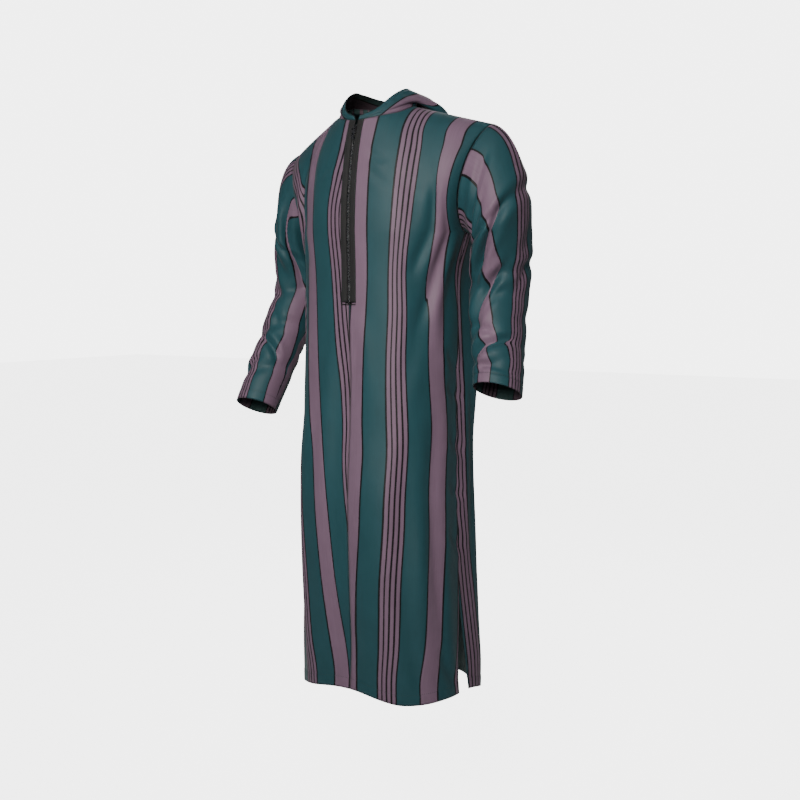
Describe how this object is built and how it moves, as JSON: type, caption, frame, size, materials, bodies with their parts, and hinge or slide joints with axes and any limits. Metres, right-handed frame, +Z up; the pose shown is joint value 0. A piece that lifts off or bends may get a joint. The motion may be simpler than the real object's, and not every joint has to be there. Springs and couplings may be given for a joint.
{
  "type": "long hooded robe",
  "caption": "Long hollow striped robe with sleeves, side slits, a half zip at the neck and a hood that hangs down the back.",
  "frame": {"origin": "between the shoulders at the height of the side of the neck, where the wearer carries the robe", "axes": "+Z up along the body, +X to the wearer's left, -Y to the wearer's front"},
  "size_m": [0.633, 0.3338, 1.2205],
  "materials": {
    "back": "striped satin twill with a soft sheen",
    "front_left": "striped satin twill with a soft sheen",
    "front_right": "striped satin twill with a soft sheen",
    "hood_left": "striped satin twill with a soft sheen",
    "hood_right": "striped satin twill with a soft sheen",
    "sleeve_left": "striped satin twill with a soft sheen",
    "sleeve_right": "striped satin twill with a soft sheen",
    "zip_end_bar": "woven black tape",
    "zip_pull": "dark metal",
    "zip_slider": "dark metal",
    "zip_tape_left": "woven black tape",
    "zip_tape_right": "woven black tape",
    "zip_teeth": "dark metal"
  },
  "bodies": {
    "robe": {"back": "back", "front_left": "front_left", "front_right": "front_right", "hood_left": "hood_left", "hood_right": "hood_right", "sleeve_left": "sleeve_left", "sleeve_right": "sleeve_right", "zip_end_bar": "zip_end_bar", "zip_slider": "zip_slider", "zip_tape_left": "zip_tape_left", "zip_tape_right": "zip_tape_right", "zip_teeth": "zip_teeth"},
    "zip_pull": {"zip_pull": "zip_pull"}
  },
  "joints": [
    {"name": "pull_swing", "type": "hinge", "parent": "robe", "child": "zip_pull", "pos_m": [0, -0.12898, -0.03324], "axis": [-1, 0, 0], "range_deg": [0, 150]}
  ]
}
